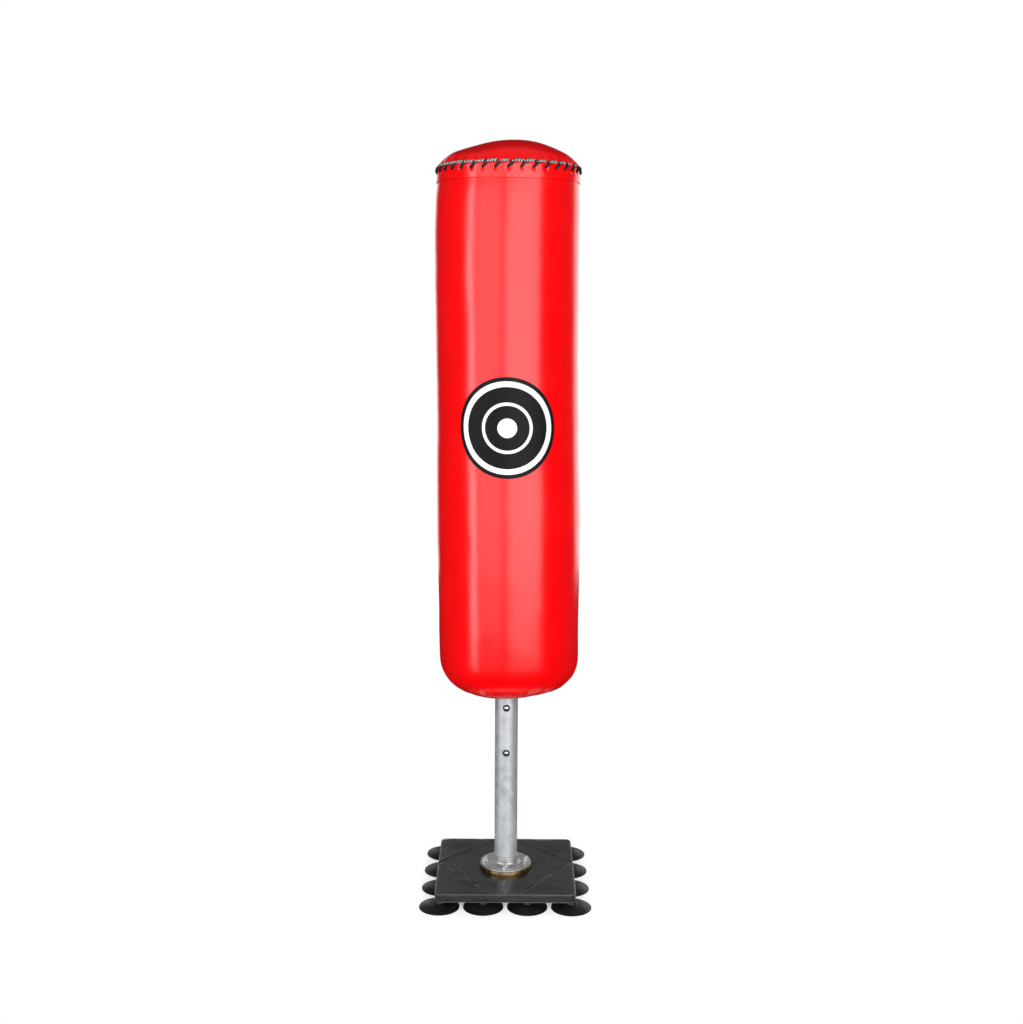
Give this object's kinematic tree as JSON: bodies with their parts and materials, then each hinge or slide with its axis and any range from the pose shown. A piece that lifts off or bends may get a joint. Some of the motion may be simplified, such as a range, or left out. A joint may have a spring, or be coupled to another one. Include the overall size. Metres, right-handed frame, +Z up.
{
  "type": "punching bag on stand",
  "caption": "Free-standing punching bag: padded red bag on a coil spring and telescoping pole, on a square padded base held to the floor by suction cups.",
  "frame": {"origin": "on the floor, at the centre of the base, on the pole's axis", "axes": "+Z up along the pole, front of the bag and the snap buttons towards -Y, +X to the right seen from the front"},
  "size_m": [0.3724, 0.3724, 1.6265],
  "materials": {
    "cup_rubber": "smooth black moulded rubber, slight gloss",
    "zinc_fasteners": "bright zinc plating",
    "black_paint": "black powder coat",
    "base_foam": "closed-cell foam sheet",
    "base_leather": "black synthetic leather, fine grain, soft sheen",
    "gold_zinc": "yellow zinc plating, turned",
    "flange_zinc": "cast steel, zinc plated, satin",
    "pole_zinc": "galvanised, satin, faint mottling",
    "slider_zinc": "bright drawn tube",
    "button_chrome": "polished dome",
    "spring_steel": "oiled spring steel",
    "core_foam": "expanded foam",
    "textile_fill": "packed textile shreds",
    "bag_leather": "saturated red synthetic leather, fine grain, soft gloss",
    "lace": "black braided cord with white fleck"
  },
  "bodies": {
    "stand": {"suction_cup_01": "cup_rubber", "suction_cup_02": "cup_rubber", "suction_cup_03": "cup_rubber", "suction_cup_04": "cup_rubber", "suction_cup_05": "cup_rubber", "suction_cup_06": "cup_rubber", "suction_cup_07": "cup_rubber", "suction_cup_08": "cup_rubber", "suction_cup_09": "cup_rubber", "suction_cup_10": "cup_rubber", "suction_cup_11": "cup_rubber", "suction_cup_12": "cup_rubber", "suction_cup_13": "cup_rubber", "suction_cup_14": "cup_rubber", "suction_cup_15": "cup_rubber", "suction_cup_16": "cup_rubber", "cup_screw_01": "zinc_fasteners", "cup_screw_02": "zinc_fasteners", "cup_screw_03": "zinc_fasteners", "cup_screw_04": "zinc_fasteners", "cup_screw_05": "zinc_fasteners", "cup_screw_06": "zinc_fasteners", "cup_screw_07": "zinc_fasteners", "cup_screw_08": "zinc_fasteners", "cup_screw_09": "zinc_fasteners", "cup_screw_10": "zinc_fasteners", "cup_screw_11": "zinc_fasteners", "cup_screw_12": "zinc_fasteners", "cup_screw_13": "zinc_fasteners", "cup_screw_14": "zinc_fasteners", "cup_screw_15": "zinc_fasteners", "cup_screw_16": "zinc_fasteners", "base_plate": "black_paint", "base_foam": "base_foam", "base_cover": "base_leather", "spacer_ring": "gold_zinc", "pole_flange": "flange_zinc", "pole": "pole_zinc", "flange_bolt_01": "zinc_fasteners", "flange_bolt_02": "zinc_fasteners", "flange_bolt_03": "zinc_fasteners", "flange_bolt_04": "zinc_fasteners", "flange_nut_01": "zinc_fasteners", "flange_nut_02": "zinc_fasteners", "flange_nut_03": "zinc_fasteners", "flange_nut_04": "zinc_fasteners"},
    "slider": {"inner_tube": "slider_zinc", "button_clip_lower": "spring_steel", "button_clip_upper": "spring_steel", "lower_spring_seat": "black_paint"},
    "button_lower": {"snap_button_lower": "button_chrome"},
    "button_upper": {"snap_button_upper": "button_chrome"},
    "spring_middle": {"core_spring": "spring_steel"},
    "bag": {"upper_spring_seat": "black_paint", "core_tube": "slider_zinc", "foam_core": "core_foam", "textile_fill": "textile_fill", "bag_cover": "bag_leather", "top_cap": "bag_leather", "lacing_cord": "lace"}
  },
  "joints": [
    {"name": "height_adjust", "type": "slide", "parent": "stand", "child": "slider", "axis": [0, 0, 1], "range_m": [0, 0.1032], "deforming": ["snap_button_lower", "snap_button_upper"]},
    {"name": "button_press_lower", "type": "slide", "parent": "slider", "child": "button_lower", "axis": [0, 1, 0], "range_m": [0, 0.005], "stiffness_N_per_m": 800, "deforming": ["button_clip_lower"]},
    {"name": "button_press_upper", "type": "slide", "parent": "slider", "child": "button_upper", "axis": [0, 1, 0], "range_m": [0, 0.005], "stiffness_N_per_m": 800, "deforming": ["button_clip_upper"]},
    {"name": "swing_fore_aft", "type": "hinge", "parent": "slider", "child": "spring_middle", "pos_m": [0, 0, 0.545], "axis": [1, 0, 0], "range_deg": [-15, 15], "stiffness_Nm_per_rad": 900},
    {"name": "swing_sideways", "type": "hinge", "parent": "spring_middle", "child": "bag", "pos_m": [0, 0, 0.545], "axis": [0, 1, 0], "range_deg": [-15, 15], "stiffness_Nm_per_rad": 900, "deforming": ["core_spring"]}
  ]
}
